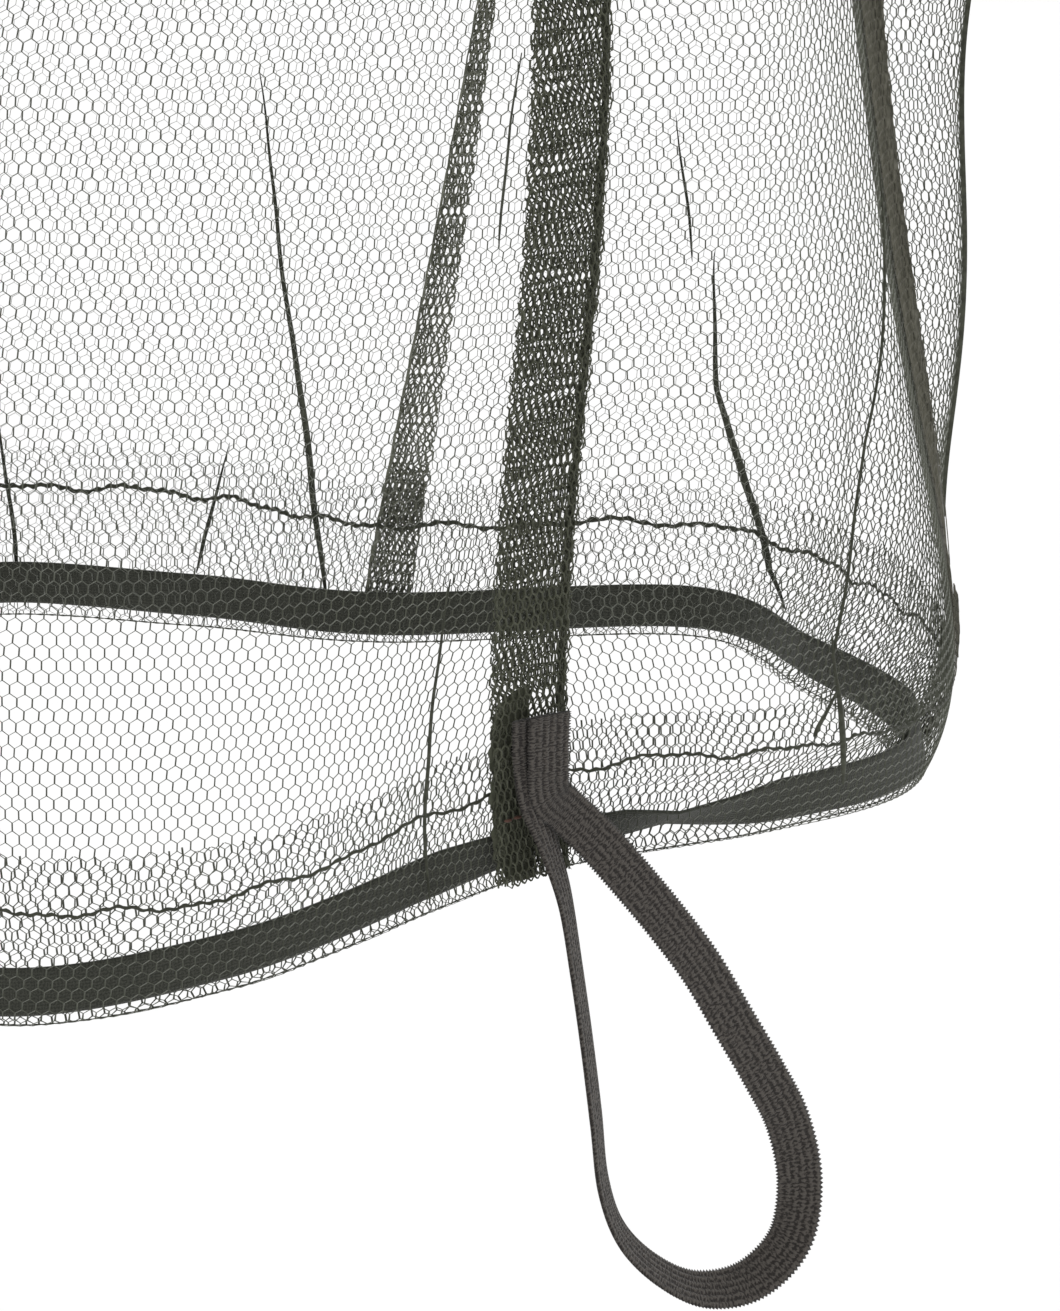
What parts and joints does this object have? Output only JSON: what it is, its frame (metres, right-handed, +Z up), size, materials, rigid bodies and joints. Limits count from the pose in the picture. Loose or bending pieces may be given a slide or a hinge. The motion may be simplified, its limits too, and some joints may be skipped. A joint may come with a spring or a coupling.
{
  "type": "mosquito net canopy",
  "caption": "Small hanging mosquito net canopy in dark olive mesh with folded seam bands, a taped hem and a webbing loop",
  "frame": {"origin": "middle of the top face of the round binding at the gathered top, from which the canopy hangs", "axes": "+Z up, -Y to the front where the webbing loop is, +X to the right seen from the front"},
  "size_m": [0.2071, 0.1788, 0.383],
  "materials": {
    "olive_net": "matte",
    "olive_band": "matte",
    "dark_tape": "matte",
    "charcoal_webbing": "matte"
  },
  "bodies": {
    "root": {"gore_front": "olive_net", "gore_front_right": "olive_net", "gore_back_right": "olive_net", "gore_back": "olive_net", "gore_left": "olive_net", "band_front_left": "olive_band", "band_front": "olive_band", "band_right": "olive_band", "band_back": "olive_band", "band_back_left": "olive_band", "hem_tape": "dark_tape", "loop": "charcoal_webbing", "top_binding": "dark_tape"}
  },
  "joints": []
}
